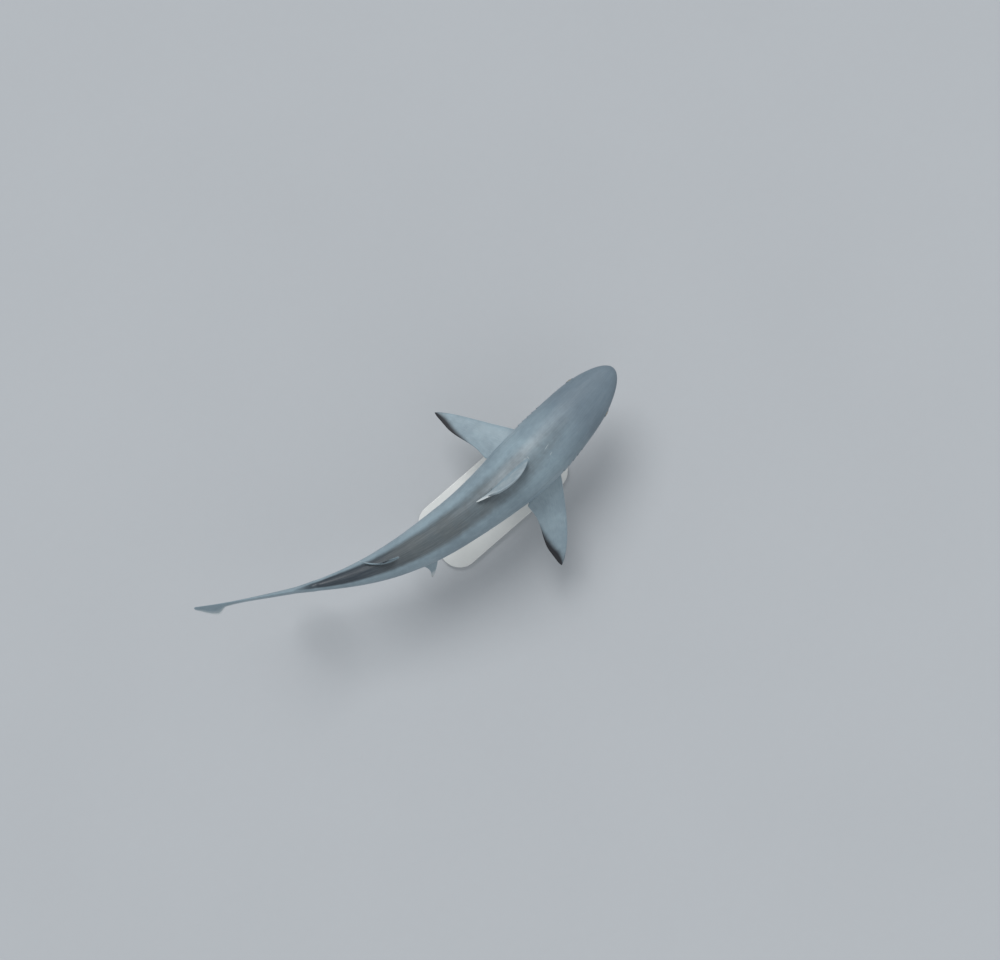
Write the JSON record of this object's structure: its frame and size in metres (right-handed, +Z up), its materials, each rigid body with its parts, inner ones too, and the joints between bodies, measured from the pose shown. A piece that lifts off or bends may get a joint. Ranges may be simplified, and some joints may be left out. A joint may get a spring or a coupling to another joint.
{
  "type": "blacktip shark",
  "caption": "Life-size blacktip shark in a gentle left turn, held level above a flat rounded base by slim steel rods.",
  "frame": {"origin": "centre of the stand base's underside, on the floor", "axes": "+X forward along the trunk above the stand, towards the head; +Y to the shark's left; +Z up"},
  "size_m": [1.4974, 0.661, 0.6294],
  "materials": {
    "skin": "satin, grey back, pale flank, white belly, black fin tips",
    "eye": "clear wet gloss over a grey-gold iris and dark upright pupil",
    "stand_paint": "satin off-white powder coat",
    "stand_steel": "brushed"
  },
  "bodies": {
    "root": {"head": "skin", "trunk_front": "skin", "trunk_rear": "skin", "tail_stalk": "skin", "pectoral_fin_left": "skin", "pectoral_fin_right": "skin", "pelvic_fin_left": "skin", "pelvic_fin_right": "skin", "first_dorsal_fin": "skin", "second_dorsal_fin": "skin", "anal_fin": "skin", "caudal_fin_upper_lobe": "skin", "caudal_fin_lower_lobe": "skin", "eye_left": "eye", "eye_right": "eye", "stand_base": "stand_paint", "stand_rod_front": "stand_steel", "stand_rod_rear": "stand_steel"}
  },
  "joints": []
}
